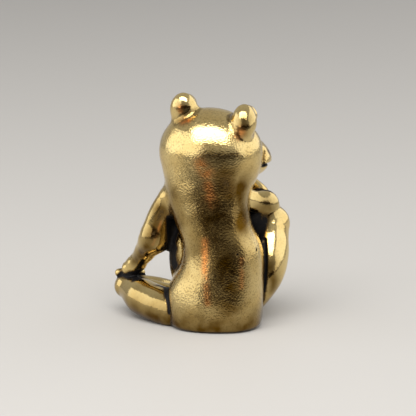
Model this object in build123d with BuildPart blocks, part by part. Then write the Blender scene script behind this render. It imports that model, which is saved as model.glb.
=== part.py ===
"""Cast brass frog ornament: it sits with one knee up, its chin on its right hand and its left hand on its left knee.

The frog faces -Y, its left side is +X and +Z is up. The origin is the middle of the flat seat under the torso.
Each sculpted form is a separate solid, cut to seat on the forms that carry it, as the parts of the pattern are.
Lengths are in millimetres and angles in degrees.
"""

import os
from math import cos, radians, sin, sqrt

from build123d import *

# Torso: flat seat, hips, waist and neck, with the neck drawn to the left in an S
torso_height = 22.4
hip_width = 15.2
hip_depth = 13.2
neck_width = 13.9
neck_depth = 12.2
neck_left = 1.8
neck_forward = 0.6
throat_forward = 0.9

# Share of the torso's height, then how far the left, right, back and front edges lie from the middle there,
# as shares of half the hips' width and depth
torso_edge_shares = (
    (0.000, 0.870, 0.830, 0.925, 0.790),
    (0.045, 0.990, 0.955, 1.065, 0.910),
    (0.200, 1.020, 0.975, 1.060, 0.930),
    (0.290, 0.985, 0.985, 1.015, 0.930),
    (0.357, 0.890, 0.985, 0.985, 0.930),
    (0.430, 0.780, 0.985, 0.945, 0.920),
    (0.536, 0.705, 0.960, 0.885, 0.895),
    (0.616, 0.745, 0.880, 0.850, 0.870),
    (0.705, 0.835, 0.765, 0.810, 0.850),
    (0.790, 0.930, 0.690, 0.775, 0.850),
    (0.870, 1.000, 0.665, 0.735, 0.900),
    (0.925, 1.035, 0.685, 0.720, 0.990),
)

# Belly: an egg in front of the waist, which shows past its left side
belly_width = 13.8
belly_depth = 8.4
belly_height = 17.2
belly_left = 0.5
belly_forward = 2.9
belly_rise = 10.4

# Head: the rounded back of the skull, leaning towards the right hand
head_width = 16.4
head_length = 14.0
head_height = 12.1
head_forward = 1.7
head_lean = 6.2
head_turn = 8.0

# Share of the head's height, share of its width and length there, and share of the way forward from the throat
head_section_shares = (
    (0.10, 0.905, 0.40),
    (0.20, 0.945, 0.75),
    (0.40, 1.00, 1.00),
    (0.60, 0.945, 1.00),
    (0.80, 0.755, 1.00),
    (0.90, 0.56, 1.00),
    (0.965, 0.33, 1.00),
)

# Jaws: two halves of a broad muzzle, with the mouth between them
muzzle_width = 18.2
muzzle_length = 14.4
muzzle_height = 10.4
muzzle_forward = 3.7
chin_width = 17.0
chin_length = 13.2
chin_height = 7.6
mouth_height = 4.0
mouth_gap = 0.35

# An egg is lofted through this many sections
egg_section_count = 9

# Nostrils: dimples on the muzzle
nostril_radius = 0.42
nostril_spacing = 2.6
nostril_rise = 3.4

# Eyes: egg-shaped knobs with a round disc in front
eye_root_radius = 1.4
eye_radius = 2.08
eye_length = 3.6
eye_spacing = 9.8
eye_forward = 0.1
eye_root_drop = 4.0
eye_splay = 2.0
eye_front_radius = 1.92
eye_front_reach = 2.4
eye_front_edge = 0.7

# Shoulders, inside the edge of the neck
shoulder_drop = 2.4
left_shoulder_inset = 0.85
left_shoulder_forward = 0.9
right_shoulder_inset = 2.55
right_shoulder_forward = 3.4

# Left arm, reaching down to the left knee
left_shoulder_radius = 1.9
left_upper_arm_radius = 1.5
left_upper_arm_bow = 0.9
left_elbow_out = 10.35
left_elbow_forward = 1.8
left_elbow_height = 13.2
left_elbow_radius = 2.3
left_forearm_radius = 1.95
left_wrist_in = 1.9
left_wrist_back = 0.8
left_wrist_rise = 4.2

# Right arm, its elbow on the right knee and its hand at the chin
right_shoulder_radius = 1.9
right_elbow_in = 0.4
right_elbow_back = 0.2
right_elbow_rise = 2.7
right_elbow_radius = 2.15
right_wrist_across = 4.5
right_wrist_forward = 9.5
right_wrist_drop = 0.2
wrist_radius = 1.3

# Left leg, folded along the ground, with its hip inside the edge of the torso's hips
left_hip_inset = 0.4
left_hip_back = 0.6
left_hip_height = 2.3
left_hip_radius = 3.2
left_thigh_radius = 3.1
left_thigh_bow_out = 0.5
left_thigh_bow_back = 0.7
left_thigh_bow_drop = 0.3
left_knee_out = 15.4
left_knee_forward = 6.2
left_knee_height = 4.2
left_knee_radius = 1.95
left_shin_radius = 2.1
left_ankle_out = 6.0
left_ankle_forward = 11.6
left_ankle_height = 1.9

# Right leg, with its knee up
right_hip_inset = 3.2
right_hip_forward = 2.2
right_hip_height = 3.2
right_hip_radius = 3.0
right_thigh_radius = 3.2
right_thigh_bow_out = 1.6
right_thigh_bow_back = 0.3
right_knee_out = 7.9
right_knee_forward = 7.6
right_knee_height = 15.0
right_knee_radius = 3.0
right_shin_radius = 2.3
right_ankle_out = 4.4
right_ankle_forward = 11.0
right_ankle_height = 2.2
ankle_radius = 1.5

# A limb is thickest at this share of its length
limb_swell_share = 0.42

# Hands
palm_radius = 1.6
palm_length = 1.5
finger_count = 4
finger_length = 2.6
finger_radius = 0.62
finger_tip_radius = 0.74
right_hand_spread = 22.0
right_hand_heading = 14.0
right_hand_dip = -78.0
left_palm_out = 1.4
left_palm_forward = 0.6
left_palm_drop = 1.2
left_palm_radius = 1.45
left_finger_reach = 3.3

# How far each left finger goes out, forward and down from the palm over the knee, as shares of its reach
left_finger_shares = (
    (0.55, 0.15, 0.27),
    (0.45, 0.73, 0.48),
    (0.00, 0.97, 0.48),
    (-0.45, 0.79, 0.40),
)

# Feet
toe_count = 4
toe_length = 4.6
toe_radius = 0.9
toe_tip_radius = 0.95
toe_spread = 17.0
web_reach = 3.5
web_thickness = 0.9
right_foot_heading = 8.0

os.makedirs("parts", exist_ok=True)
pieces = {}


def limb_outline(start, end, start_radius, middle_radius, end_radius):
    """Half outline of a limb: a ball round each joint, and between them a skin that swells to the middle radius."""
    run = end - start
    side = run.cross(Vector(1, 1, 0))
    with BuildSketch(Plane(origin=start, x_dir=run, z_dir=side)) as outline:
        with BuildLine():
            root = CenterArc((0, 0), start_radius, 90, 90)
            tip = CenterArc((run.length, 0), end_radius, 0, 90)
            swell = (run.length * limb_swell_share, middle_radius)
            Spline(root @ 0, swell, tip @ 1, tangents=((1, 0), (1, 0)))
            Line(root @ 1, tip @ 0)
        make_face()
    return outline.sketch


def limb_runs(start, end, start_radius, middle_radius, end_radius, bow):
    """The straight runs of a limb: one, or two that meet in a ball where the limb is bowed."""
    if bow.length == 0:
        return [(start, end, start_radius, middle_radius, end_radius)]
    middle = (start + end) / 2 + bow
    return [
        (start, middle, start_radius, (start_radius + middle_radius) / 2, middle_radius),
        (middle, end, middle_radius, (middle_radius + end_radius) / 2, end_radius),
    ]


def seat(piece):
    """Cuts a piece back from every piece made before it, and keeps its main body above the ground."""
    for earlier in pieces.values():
        if earlier.bounding_box().overlaps(piece.part.bounding_box()):
            add(earlier, mode=Mode.SUBTRACT)
    split(bisect_by=Plane.XY, keep=Keep.TOP)
    add(piece.part.solids().sort_by(SortBy.VOLUME)[-1], mode=Mode.REPLACE)


def save(piece, name):
    """Labels a finished piece, keeps it for the pieces that seat on it, and writes it as one node."""
    pieces[name] = piece.part
    piece.part.label = name
    export_step(piece.part, f"parts/{name}.step")


# Head frame: its origin is the middle of the neck, and it leans and turns to the frog's right
neck_centre = Vector(neck_left, -neck_forward, torso_height)
head_frame = Plane(Location(neck_centre, (0, -head_lean, -head_turn)))


def head_point(across, forward, up):
    """A place given in the head's own frame."""
    return head_frame.from_local_coords(Vector(across, -forward, up))


def head_level(forward, up):
    """A section plane across the head, at a height above the neck."""
    return Plane(origin=head_point(0, forward, up), x_dir=head_frame.x_dir, z_dir=head_frame.z_dir)


def egg_sections(level, width, length, height):
    """The sections of an egg from bottom to top, where level gives the section plane at a height from its middle."""
    sections = [Vertex(*level(-height / 2).origin)]
    for step in range(1, egg_section_count + 1):
        turn = radians(180 * step / (egg_section_count + 1) - 90)
        with BuildSketch(level(height / 2 * sin(turn))) as section:
            Ellipse(width / 2 * cos(turn), length / 2 * cos(turn))
        sections.append(section.sketch.face())
    return [*sections, Vertex(*level(height / 2).origin)]


# Joints: the left wrist is carried by the left knee, the right elbow by the right knee, and the right wrist by the chin
left_hip = Vector(hip_width / 2 - left_hip_inset, left_hip_back, left_hip_height)
left_knee = Vector(left_knee_out, -left_knee_forward, left_knee_height)
left_ankle = Vector(left_ankle_out, -left_ankle_forward, left_ankle_height)
right_hip = Vector(right_hip_inset - hip_width / 2, -right_hip_forward, right_hip_height)
right_knee = Vector(-right_knee_out, -right_knee_forward, right_knee_height)
right_ankle = Vector(-right_ankle_out, -right_ankle_forward, right_ankle_height)
shoulder_height = torso_height - shoulder_drop
left_shoulder_out = neck_left + neck_width / 2 - left_shoulder_inset
left_shoulder = Vector(left_shoulder_out, -left_shoulder_forward, shoulder_height)
left_elbow = Vector(left_elbow_out, -left_elbow_forward, left_elbow_height)
left_wrist = left_knee + Vector(-left_wrist_in, left_wrist_back, left_wrist_rise)
right_shoulder_out = neck_left - neck_width / 2 + right_shoulder_inset
right_shoulder = Vector(right_shoulder_out, -right_shoulder_forward, shoulder_height)
right_elbow = right_knee + Vector(right_elbow_in, right_elbow_back, right_elbow_rise)
right_wrist = head_point(-right_wrist_across, right_wrist_forward, -right_wrist_drop)


def belly_level(up):
    """A level section plane through the belly, at a height from its middle."""
    return Plane((belly_left, -belly_forward, belly_rise + up))


# Torso
neck_level = head_level(throat_forward, 0)
with BuildPart() as torso:
    for height, left, right, back, front in torso_edge_shares:
        middle = (hip_width * (left - right) / 4, hip_depth * (back - front) / 4, torso_height * height)
        with BuildSketch(Plane(middle)):
            Ellipse(hip_width * (left + right) / 4, hip_depth * (back + front) / 4)
    with BuildSketch(neck_level):
        Ellipse(neck_width / 2, neck_depth / 2)
    loft()
    loft(egg_sections(belly_level, belly_width, belly_depth, belly_height))
save(torso, "torso")

# Head
with BuildPart() as head:
    with BuildSketch(neck_level):
        Ellipse(neck_width / 2, neck_depth / 2)
    for height, size, ahead in head_section_shares:
        forward = throat_forward + (head_forward - throat_forward) * ahead
        with BuildSketch(head_level(forward, head_height * height)):
            Ellipse(head_width * size / 2, head_length * size / 2)
    crown = Vertex(*head_point(0, head_forward, head_height))
    loft([*head.pending_faces, crown])
    head.pending_faces = []
save(head, "head")


def nostril_forward():
    """How far forward the muzzle's skin is at the nostrils."""
    rise = nostril_rise / (muzzle_height / 2)
    across = nostril_spacing / muzzle_width
    return muzzle_forward + muzzle_length / 2 * sqrt(1 - rise**2 - across**2)


def jaw_level(up):
    """A section plane across the muzzle, at a height from the mouth."""
    return head_level(muzzle_forward, mouth_height + up)


# Jaws
jaws = {
    "upper_jaw": (muzzle_width, muzzle_length, muzzle_height, 1),
    "lower_jaw": (chin_width, chin_length, chin_height, -1),
}
for name, (width, length, height, side) in jaws.items():
    with BuildPart() as jaw:
        loft(egg_sections(jaw_level, width, length, height))
        mouth = head_level(muzzle_forward, mouth_height + side * mouth_gap / 2)
        split(bisect_by=mouth, keep=Keep.TOP if side > 0 else Keep.BOTTOM)
        nostrils = [head_point(x * nostril_spacing / 2, nostril_forward(), mouth_height + nostril_rise) for x in (-1, 1)]
        with Locations(*nostrils):
            Sphere(nostril_radius, mode=Mode.SUBTRACT)
        seat(jaw)
    save(jaw, name)

# Eyes
eye_root_height = head_height - eye_root_drop
for name, side in (("left_eye", 1), ("right_eye", -1)):
    root_across = side * eye_spacing / 2
    ball_across = root_across + side * eye_length * sin(radians(eye_splay))
    ball_height = eye_root_height + eye_length * cos(radians(eye_splay))
    root = head_point(root_across, eye_forward, eye_root_height)
    ball = head_point(ball_across, eye_forward, ball_height)
    with BuildPart() as eye:
        revolve(limb_outline(root, ball, eye_root_radius, eye_radius, eye_radius), axis=Axis(root, ball - root))
        with BuildSketch(Plane(origin=ball, x_dir=-head_frame.y_dir, z_dir=head_frame.z_dir)) as front:
            Rectangle(eye_front_reach, eye_front_radius, align=(Align.MIN, Align.MIN))
            rim = front.vertices().group_by(Axis.X)[-1].sort_by(Axis.Y)[-1]
            fillet(rim, eye_front_edge)
        revolve(axis=Axis(ball, -head_frame.y_dir))
        seat(eye)
    save(eye, name)

# Arms and legs: first joint, second joint, the radii at the first, along the limb and at the second, and the bow
straight = Vector(0, 0, 0)
left_thigh_bow = Vector(left_thigh_bow_out, left_thigh_bow_back, -left_thigh_bow_drop)
right_thigh_bow = Vector(-right_thigh_bow_out, right_thigh_bow_back, 0)
left_arm_bow = Vector(left_upper_arm_bow, 0, 0)
left_arm_radii = (left_shoulder_radius, left_upper_arm_radius, left_elbow_radius)
right_arm_radii = (right_shoulder_radius, right_shoulder_radius, right_elbow_radius)
limbs = {
    "left_thigh": (left_hip, left_knee, left_hip_radius, left_thigh_radius, left_knee_radius, left_thigh_bow),
    "left_shin": (left_knee, left_ankle, left_knee_radius, left_shin_radius, ankle_radius, straight),
    "right_thigh": (right_hip, right_knee, right_hip_radius, right_thigh_radius, right_knee_radius, right_thigh_bow),
    "right_shin": (right_knee, right_ankle, right_knee_radius, right_shin_radius, ankle_radius, straight),
    "left_upper_arm": (left_shoulder, left_elbow, *left_arm_radii, left_arm_bow),
    "left_forearm": (left_elbow, left_wrist, left_elbow_radius, left_forearm_radius, wrist_radius, straight),
    "right_upper_arm": (right_shoulder, right_elbow, *right_arm_radii, straight),
    "right_forearm": (right_elbow, right_wrist, right_elbow_radius, right_elbow_radius, wrist_radius, straight),
}
for name, limb_sizes in limbs.items():
    with BuildPart() as limb:
        for start, end, *radii in limb_runs(*limb_sizes):
            revolve(limb_outline(start, end, *radii), axis=Axis(start, end - start))
        seat(limb)
    save(limb, name)


def fan(count, spread):
    """Angles of digits that fan out evenly to both sides of straight ahead."""
    return [spread * (digit - (count - 1) / 2) for digit in range(count)]


# Hands: a palm past the wrist and round-tipped fingers, the left ones over the knee and the right ones in a fan
left_palm = left_wrist + Vector(left_palm_out, -left_palm_forward, -left_palm_drop)
left_tips = [
    left_palm + Vector(out, -forward, -drop) * left_finger_reach for out, forward, drop in left_finger_shares
]
hand_frame = Plane(Location(right_wrist, (0, 0, right_hand_heading))).rotated((right_hand_dip, 0, 0))
right_palm = hand_frame.from_local_coords(Vector(0, -palm_length, 0))
right_reach = Vector(0, -palm_length - finger_length, 0)
right_tips = [
    hand_frame.from_local_coords(right_reach.rotate(Axis.Z, angle)) for angle in fan(finger_count, right_hand_spread)
]
hands = {
    "left_hand": (left_wrist, left_palm, left_palm_radius, left_tips),
    "right_hand": (right_wrist, right_palm, palm_radius, right_tips),
}
for name, (wrist, palm, radius, tips) in hands.items():
    with BuildPart() as hand:
        revolve(limb_outline(wrist, palm, wrist_radius, radius, radius), axis=Axis(wrist, palm - wrist))
        for tip in tips:
            finger = limb_outline(palm, tip, finger_radius, finger_radius, finger_tip_radius)
            revolve(finger, axis=Axis(palm, tip - palm))
        seat(hand)
    save(hand, name)

# Feet: toes fanned along the ground from under the ankle, with a web between them
left_foot_run = left_ankle - left_knee
feet = {
    "left_foot": (left_ankle, Vector(left_foot_run.X, left_foot_run.Y, 0).normalized()),
    "right_foot": (right_ankle, Vector(0, -1, 0).rotate(Axis.Z, right_foot_heading)),
}
for name, (ankle, ahead) in feet.items():
    heel = Vector(ankle.X, ankle.Y, toe_radius)
    with BuildPart() as foot:
        for angle in fan(toe_count, toe_spread):
            tip = heel + ahead.rotate(Axis.Z, angle) * toe_length
            revolve(limb_outline(heel, tip, toe_radius, toe_radius, toe_tip_radius), axis=Axis(heel, tip - heel))
        web_angle = toe_spread * (toe_count - 1)
        with BuildSketch(Plane(origin=(heel.X, heel.Y, 0), x_dir=ahead)):
            with BuildLine():
                edge = CenterArc((0, 0), web_reach, -web_angle / 2, web_angle)
                Line((0, 0), edge @ 0)
                Line(edge @ 1, (0, 0))
            make_face()
        extrude(amount=web_thickness)
        seat(foot)
    save(foot, name)
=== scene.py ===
# %% [markdown]
# # A small brass frog, cast and polished
#
# The object is a solid brass ornament about 37 mm tall. A frog sits upright with its right knee drawn up,
# its right elbow on that knee and its chin on its right hand. Its left leg is folded along the ground, and
# its left hand rests on the left knee. The metal has a fine cast grain, bright where hands have polished it
# and black where the patina was never reached.
#
# A casting has no sharp inside corners: wherever two forms meet, the wax was smoothed over. It could be
# sculpted by hand or made with metaballs, but then no number in it could be read or changed. So every form
# is written as a distance formula, the formulas are merged with rounded corners, and each piece is a grid of
# rays that stops where the merged formula is zero. All lengths are millimetres until the meshes are made.

# %% Load the packed frame
from dataclasses import dataclass
from math import cos, radians, sin, tau

import bpy
import numpy as np
from mathutils import Matrix, Vector


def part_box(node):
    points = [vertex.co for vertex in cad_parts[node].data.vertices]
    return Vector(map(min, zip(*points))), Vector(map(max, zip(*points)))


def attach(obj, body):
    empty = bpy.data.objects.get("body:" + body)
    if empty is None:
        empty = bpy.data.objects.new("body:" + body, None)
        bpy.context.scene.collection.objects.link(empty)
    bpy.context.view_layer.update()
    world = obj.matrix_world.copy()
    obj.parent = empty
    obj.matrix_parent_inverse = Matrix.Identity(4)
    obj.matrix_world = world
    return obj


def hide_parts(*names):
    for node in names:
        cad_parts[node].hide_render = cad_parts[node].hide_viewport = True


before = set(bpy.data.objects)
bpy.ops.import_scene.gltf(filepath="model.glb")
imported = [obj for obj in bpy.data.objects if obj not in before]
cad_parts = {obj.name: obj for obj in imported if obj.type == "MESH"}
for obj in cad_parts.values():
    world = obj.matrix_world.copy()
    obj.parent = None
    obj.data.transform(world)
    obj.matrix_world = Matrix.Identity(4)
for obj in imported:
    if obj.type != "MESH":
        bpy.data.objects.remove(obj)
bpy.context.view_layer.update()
MM = 0.001


def in_mm(metres):
    """Metres as millimetres, rounded to a tenth for printing."""
    return [round(x / MM, 1) for x in metres]


# %% [markdown]
# ## Joining forms like a wax worker
#
# A plain union of two shapes keeps the lower of their two distances, which leaves a sharp crease. A wax
# worker runs a warm tool along the join and leaves a small round fillet. The rounded lowest does the same:
# where the two distances differ by less than the fillet's width, it goes a little lower than both.


# %% Rounded joins and cuts
def rounded_lowest(a, b, width):
    """The lower of two distances, less (width - |a - b|) squared over four widths where they are close."""
    closeness = np.maximum(width - np.abs(a - b), 0.0)
    return np.minimum(a, b) - closeness**2 / (4.0 * width)


def rounded_highest(a, b, width):
    """The higher of two distances, with the corner rounded in the same way, for cuts."""
    return -rounded_lowest(-a, -b, width)


print("a fillet 1 mm wide fills a corner by", -rounded_lowest(0.0, 0.0, 1.0), "mm")

# %% [markdown]
# ## Soft curves
#
# A modelled limb has no kinks: its thickness leaves each joint level and changes slowly. Straight
# interpolation between three thicknesses would show as rings in polished metal, so the curve is a cubic.


# %% Easing
def ease(share):
    """A share from 0 to 1 that starts and ends level: three squares less two cubes."""
    share = np.clip(share, 0.0, 1.0)
    return share * share * (3.0 - 2.0 * share)


def eased_through(share, middle, values):
    """A cubic through three values, level at both ends.

    In the middle it has the harmonic mean of the two slopes if both rise or both fall, and is level if not.
    """
    first, second = (values[1] - values[0]) / middle, (values[2] - values[1]) / (1.0 - middle)
    slope = 2.0 * first * second / (first + second) if first * second > 0 else 0.0
    early = np.clip(share / middle, 0.0, 1.0)
    late = np.clip((share - middle) / (1.0 - middle), 0.0, 1.0)
    before = values[0] + (values[1] - values[0]) * ease(early) - middle * slope * early**2 * (1.0 - early)
    rest = (1.0 - middle) * slope * late * (1.0 - late) ** 2
    after = values[1] + (values[2] - values[1]) * ease(late) + rest
    return np.where(share < middle, before, after)


def unit(vector):
    """A vector of length one in the same direction."""
    vector = np.asarray(vector, float)
    return vector / np.linalg.norm(vector)


quarters = eased_through(np.linspace(0, 1, 5), 0.5, (3, 2, 1))
print("a limb of 3, 2 and 1 mm, at its quarters:", quarters.round(2))

# %% [markdown]
# ## One form: a distance, a fillet and a grid of rays
#
# A form knows how far any point is from its skin. It also carries rays: rows of starting points along its
# spine, and directions that fan out all round. The first and last rows point along the spine, so they close
# the grid at two poles. The rays later stop at the merged skin, so the grid never has to be cut or sewn, as
# a Boolean modifier would have to.


# %% Forms
@dataclass(eq=False)
class Form:
    """A modelled form: its piece, its distance formula, its fillet to others, its box and its rays."""

    piece: str
    distance: object
    fillet: float
    corners: np.ndarray
    starts: np.ndarray
    directions: np.ndarray
    reach: np.ndarray


forms, grooves = [], []
print("forms and grooves to fill:", len(forms), len(grooves))

# %% Rays round a spine
SLANT = (0.31, 0.72, 0.62)


def fan_of_rays(spine_points, tilts, pole, columns):
    """Rays round a spine: each row leaves its spine point square to the pole, then tilted towards it."""
    side = unit(np.cross(pole, SLANT))
    over = np.cross(pole, side)
    turn = np.arange(columns) * tau / columns
    square = np.cos(turn)[:, None] * side + np.sin(turn)[:, None] * over
    directions = np.cos(tilts)[:, None, None] * square + np.sin(tilts)[:, None, None] * pole
    starts = np.broadcast_to(spine_points[:, None, :], directions.shape)
    return starts, directions


def capped_rows(length, radius, step):
    """Spine shares and tilts: a cap that opens from the pole, a body square to the spine, a closing cap."""
    cap = np.linspace(0.0, tau / 4, max(6, int(radius * tau / 4 / step)))
    body = np.linspace(0.0, 1.0, max(2, int(length / step)))
    stations = np.concatenate([np.zeros(len(cap)), body[1:-1], np.ones(len(cap))])
    tilts = np.concatenate([cap - tau / 4, np.zeros(len(body) - 2), cap])
    return stations, tilts


print("rows on a limb 10 mm long and 2 mm thick:", len(capped_rows(10.0, 2.0, 0.16)[0]))

# %% [markdown]
# ## Three kinds of form
#
# A limb is a bowed rod that swells, an egg is a stretched ball, and a groove is a thin rod that is cut away.
# Blender's capsules and spheres could stand in for them, but they have no formula to merge by.


# %% A limb
LIMB_SWELL, GRID_STEP = 0.42, 0.16


def limb(
    piece, start, end, radii, fillet,
    swell=LIMB_SWELL, bow=(0, 0, 0), flat=None, flat_share=1.0, step=GRID_STEP,
):
    """A limb: distance to a bowed spine, less a radius that eases from joint to swell to joint.

    The bow is a parabola, highest half way. Along the flat direction the limb is thinner, by flat_share.
    """
    start, end, bow = (np.asarray(v, float) for v in (start, end, bow))
    run = end - start
    length = np.linalg.norm(run)

    def spine(share):
        share = share[..., None]
        return start + share * run + 4.0 * share * (1.0 - share) * bow

    def radius(share):
        return eased_through(share, swell, radii)

    def distance(points):
        share = np.clip((points - start) @ run / length**2, 0.0, 1.0)
        offset = points - spine(share)
        size = np.sqrt(np.einsum("...i,...i", offset, offset)) + 1e-9
        if flat is None:
            return size - radius(share)
        stretched = np.sqrt(size**2 + (offset @ flat) ** 2 * (1.0 / flat_share**2 - 1.0))
        return (stretched - radius(share)) * size / stretched

    stations, tilts = capped_rows(length, max(radii), step)
    columns = 2 * int(max(radii) * tau / step / 2)
    starts, directions = fan_of_rays(spine(stations), tilts, run / length, columns)
    reach = np.broadcast_to(radius(stations)[:, None], starts.shape[:2])
    ends = np.stack([start, end, start + bow, end + bow])
    corners = np.stack([ends.min(0) - max(radii), ends.max(0) + max(radii)])
    forms.append(Form(piece, distance, fillet, corners, starts, directions, reach))


print("points on a grid are", GRID_STEP, "mm apart, or finer on small forms")


# %% An egg
def egg(piece, centre, axes, radii, fillet, keep=None, edge=None, origin=None, step=GRID_STEP):
    """An egg: with the point scaled by the radii to q, distance is |q| (|q| - 1) over |q / radii|.

    keep is a distance formula whose inside is kept, as for half an egg. It needs the width of its round edge.
    """
    centre, axes, radii = (np.asarray(v, float) for v in (centre, axes, radii))

    def distance(points):
        local = (points - centre) @ axes.T / radii
        scaled = np.sqrt(np.einsum("...i,...i", local, local)) + 1e-9
        slope = np.sqrt(np.einsum("...i,...i", local / radii, local / radii)) + 1e-9
        plain = scaled * (scaled - 1.0) / slope
        return plain if keep is None else rounded_highest(plain, keep(points), edge)

    rows = max(10, int(max(radii) * tau / 2 / step))
    tilts = np.linspace(-tau / 4, tau / 4, rows)
    columns = 2 * int(max(radii) * tau / step / 2)
    spine_points = np.broadcast_to(centre if origin is None else origin, (rows, 3))
    starts, directions = fan_of_rays(spine_points, tilts, axes[2], columns)
    reach = np.full(starts.shape[:2], max(radii))
    span = np.sqrt(((axes * radii[:, None]) ** 2).sum(0))
    corners = np.stack([centre - span, centre + span])
    forms.append(Form(piece, distance, fillet, corners, starts, directions, reach))


UPRIGHT = np.eye(3)
print("an egg that stands straight has the axes", UPRIGHT.tolist())


# %% A groove
GROOVE_EDGE = 0.15


def groove(start, end, radius, width=GROOVE_EDGE):
    """A groove or a pit: the distance to a straight line less its radius, which is later cut away."""
    start, run = np.asarray(start, float), np.asarray(end, float) - start

    def distance(points):
        share = np.clip((points - start) @ run / max(run @ run, 1e-9), 0.0, 1.0)
        return np.linalg.norm(points - start - share[..., None] * run, axis=-1) - radius

    ends = np.stack([start, start + run])
    corners = np.stack([ends.min(0) - radius, ends.max(0) + radius])
    grooves.append(Form("", distance, width, corners, None, None, None))


print("the lips of a groove are rounded over", GROOVE_EDGE, "mm")

# %% [markdown]
# ## Torso
#
# The torso is a pear with a flat seat, a waist, and a neck that carries the head. A lathe could turn it, but
# it is wider than deep and its neck drifts to the left, so it is a stack of rounded sections. The table says
# how far the left, right, back and front edges are at a few heights, and the curve between is smoothed.

# %% Torso sections
NECK_HEIGHT, TORSO_TOP = 22.4, 29.0
# Height, then how far the left, right, back and front edges lie from the middle of the seat
TORSO_SECTIONS = np.array([
    (0.0, 7.45, -7.15, 6.95, -5.9),
    (1.8, 7.70, -7.35, 7.15, -6.1),
    (4.5, 7.80, -7.45, 7.05, -6.2),
    (6.5, 7.65, -7.50, 6.75, -6.2),
    (8.0, 6.80, -7.55, 6.50, -6.2),
    (9.6, 5.80, -7.55, 6.25, -6.1),
    (12.0, 5.25, -7.40, 5.90, -5.9),
    (13.8, 5.60, -6.80, 5.62, -5.8),
    (15.8, 6.40, -5.75, 5.35, -5.6),
    (17.7, 7.10, -5.20, 5.10, -5.6),
    (19.5, 7.70, -5.05, 4.90, -5.7),
    (NECK_HEIGHT, 8.00, -4.70, 4.50, -5.9),
    (24.5, 7.20, -4.20, 3.60, -5.4),
    (TORSO_TOP, 4.00, -2.60, 0.60, -4.0),
])


def smoothed_sections(sections, samples=400, passes=3, span=21):
    """The table read at even heights, then averaged with its neighbours a few times to take off corners."""
    heights = np.linspace(sections[0, 0], sections[-1, 0], samples)
    columns = np.stack([np.interp(heights, sections[:, 0], column) for column in sections.T[1:]])
    blur = np.ones(span) / span
    for _ in range(passes):
        padded = np.pad(columns, ((0, 0), (span // 2, span // 2)), mode="edge")
        columns = np.stack([np.convolve(row, blur, mode="valid") for row in padded])
    return heights, columns


section_heights, section_edges = smoothed_sections(TORSO_SECTIONS)
print("torso sections:", section_edges.shape[1])

# %% Torso skin
SEAT_ROUND = 1.1
# A section with this power is an ellipse at 2 and fuller at its corners above 2
FULLNESS = 2.35


def section_at(height):
    """The left, right, back and front edges at any height, read from the smoothed table."""
    return [np.interp(height, section_heights, row) for row in section_edges]


def torso_distance(points):
    """In each level, a full ellipse's scale less one over its slope; then a flat, rounded seat and a top."""
    left, right, back, front = section_at(points[..., 2])
    half_width, half_depth = (left - right) / 2, (back - front) / 2
    across = np.abs(points[..., 0] - (left + right) / 2) / half_width
    along = np.abs(points[..., 1] - (back + front) / 2) / half_depth
    scaled = (across**FULLNESS + along**FULLNESS) ** (1 / FULLNESS) + 1e-9
    steep = FULLNESS - 1
    slope = np.hypot((across / scaled) ** steep / half_width, (along / scaled) ** steep / half_depth)
    side = (scaled - 1.0) / (slope + 1e-9)
    seated = rounded_highest(side, -points[..., 2], SEAT_ROUND)
    return np.maximum(seated, points[..., 2] - TORSO_TOP)


print("1 mm above the seat's middle is", -torso_distance(np.array([0.0, 0.0, 1.0])).round(2), "mm deep")

# %% Torso rays
TORSO_SPINE = (3.0, 23.0)
TORSO_CAP, TORSO_STEP, TORSO_COLUMNS = 7.0, 0.2, 250
TORSO_REACH, TORSO_FILLET = 7.8, 1.0
TORSO_CORNERS = np.array([(-8, -7, 0), (9, 8, TORSO_TOP)], float)


def torso():
    """Rays from the middle of each section, square to a straight spine, with a cap of rays at either end."""
    low, high = TORSO_SPINE
    stations, tilts = capped_rows(high - low, TORSO_CAP, TORSO_STEP)
    level = low + stations * (high - low)
    left, right, back, front = section_at(level)
    middle = np.stack([(left + right) / 2, (back + front) / 2, level], -1)
    starts, directions = fan_of_rays(middle, tilts, np.array([0, 0, 1.0]), TORSO_COLUMNS)
    reach = np.full(starts.shape[:2], TORSO_REACH)
    forms.append(Form("torso", torso_distance, TORSO_FILLET, TORSO_CORNERS, starts, directions, reach))


torso()
print("torso rays:", forms[-1].reach.size)

# %% Belly and armpit web
BELLY, BELLY_RADII = (0.8, -2.9, 10.0), (7.2, 4.2, 9.2)
ARMPIT, ARMPIT_RADII = (7.6, -2.5, 15.7), (2.1, 0.9, 3.4)

egg("torso", BELLY, UPRIGHT, BELLY_RADII, fillet=0.5, step=0.26)
egg("torso", ARMPIT, UPRIGHT, ARMPIT_RADII, fillet=0.5)
print("forms on the torso:", len(forms))

# %% [markdown]
# ## Head and jaws
#
# The skull leans and turns towards the frog's right hand, so its forms live in a tilted set of axes: across,
# back and up. The skull is an egg that melts into the neck. The muzzle is two half eggs, wider than the
# skull, so that they show past both cheeks, with the mouth left open between them. A single egg with a
# groove would do for the mouth, but then the two jaws would not be separate pieces.

# %% Head axes
HEAD_LEAN, HEAD_TURN = radians(6.2), radians(8.0)
NECK = np.array([1.8, -0.6, NECK_HEIGHT])
lean = np.array(Matrix.Rotation(-HEAD_LEAN, 3, "Y"))
turn = np.array(Matrix.Rotation(-HEAD_TURN, 3, "Z"))
HEAD_AXES = (lean @ turn).T


def head_point(across, forward, up):
    """A place in the head's own axes, measured from the middle of the neck."""
    return NECK + across * HEAD_AXES[0] - forward * HEAD_AXES[1] + up * HEAD_AXES[2]


print("10 mm up the head is at", head_point(0, 0, 10).round(2))

# %% Skull and jaws
SKULL, SKULL_RADII, SKULL_FILLET = head_point(0.15, 1.7, 4.9), (8.35, 7.0, 7.2), 3.0
MOUTH_UP, MOUTH_FORWARD, MOUTH_GAP = 4.0, 4.6, 0.45
LIP_ROUND, JAW_FILLET, JAW_ORIGIN_RISE = 0.45, 0.15, 1.2
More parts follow.
